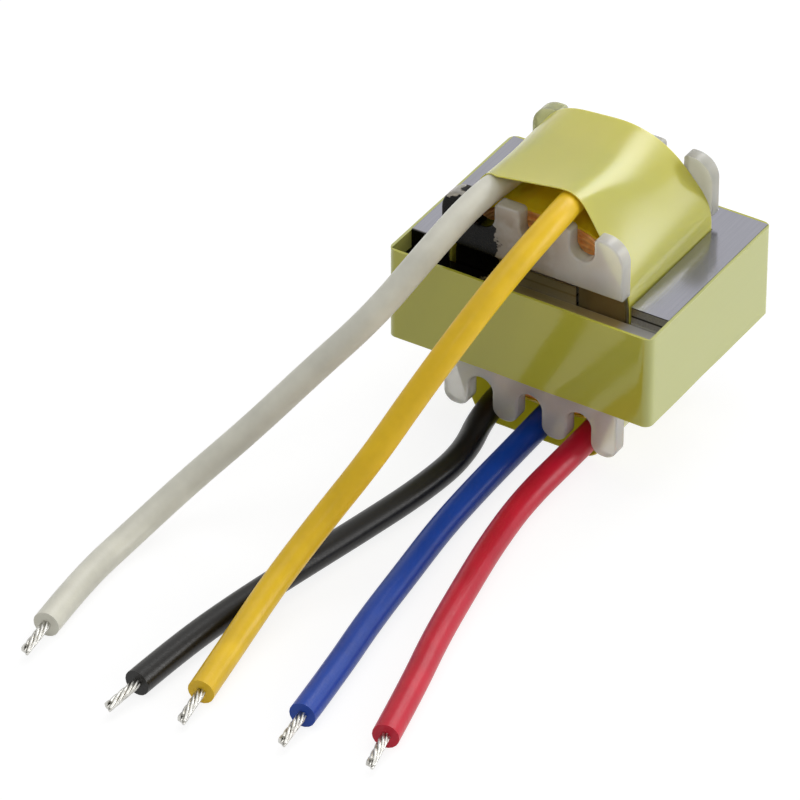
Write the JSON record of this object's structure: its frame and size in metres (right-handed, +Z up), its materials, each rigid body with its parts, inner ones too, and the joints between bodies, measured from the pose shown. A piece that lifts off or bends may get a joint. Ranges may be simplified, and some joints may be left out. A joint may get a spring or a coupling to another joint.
{
  "type": "audio transformer",
  "caption": "Small audio transformer: flat laminated steel core, taped coil on a slotted nylon bobbin, and thin colour-coded leads for soldering.",
  "frame": {"origin": "on the resting surface, under the middle of the coil", "axes": "+Z up through the coil, -Y the side that the leads leave, +X to the right seen from the leads"},
  "size_m": [0.0193, 0.0379, 0.0148],
  "materials": {
    "core_steel": "bare silicon steel with sheared edges",
    "core_tape": "thin polyester tape over steel edges",
    "coil_tape": "glossy translucent polyester tape",
    "bobbin_nylon": "natural milky moulded nylon, satin",
    "copper_wire": "enamelled copper, glossy",
    "insulation_film": "amber polyester film",
    "white_insulation": "extruded PVC, satin",
    "yellow_insulation": "extruded PVC, satin",
    "black_insulation": "extruded PVC, satin",
    "blue_insulation": "extruded PVC, satin",
    "red_insulation": "extruded PVC, satin",
    "tinned_copper": "bright tinned strands"
  },
  "bodies": {
    "root": {"e_lamination_01": "core_steel", "e_lamination_02": "core_steel", "e_lamination_03": "core_steel", "e_lamination_04": "core_steel", "e_lamination_05": "core_steel", "e_lamination_06": "core_steel", "e_lamination_07": "core_steel", "e_lamination_08": "core_steel", "e_lamination_09": "core_steel", "e_lamination_10": "core_steel", "i_lamination_01": "core_steel", "i_lamination_02": "core_steel", "i_lamination_03": "core_steel", "i_lamination_04": "core_steel", "i_lamination_05": "core_steel", "i_lamination_06": "core_steel", "i_lamination_07": "core_steel", "i_lamination_08": "core_steel", "core_tape": "core_tape", "bobbin": "bobbin_nylon", "primary_winding": "copper_wire", "winding_insulation": "insulation_film", "secondary_winding": "copper_wire", "inner_wrap": "insulation_film", "coil_tape": "coil_tape", "lead_white": "white_insulation", "tinned_end_white": "tinned_copper", "solder_joint_white": "tinned_copper", "lead_yellow": "yellow_insulation", "tinned_end_yellow": "tinned_copper", "solder_joint_yellow": "tinned_copper", "lead_black": "black_insulation", "tinned_end_black": "tinned_copper", "solder_joint_black": "tinned_copper", "lead_blue": "blue_insulation", "tinned_end_blue": "tinned_copper", "solder_joint_blue": "tinned_copper", "lead_red": "red_insulation", "tinned_end_red": "tinned_copper", "solder_joint_red": "tinned_copper"}
  },
  "joints": []
}
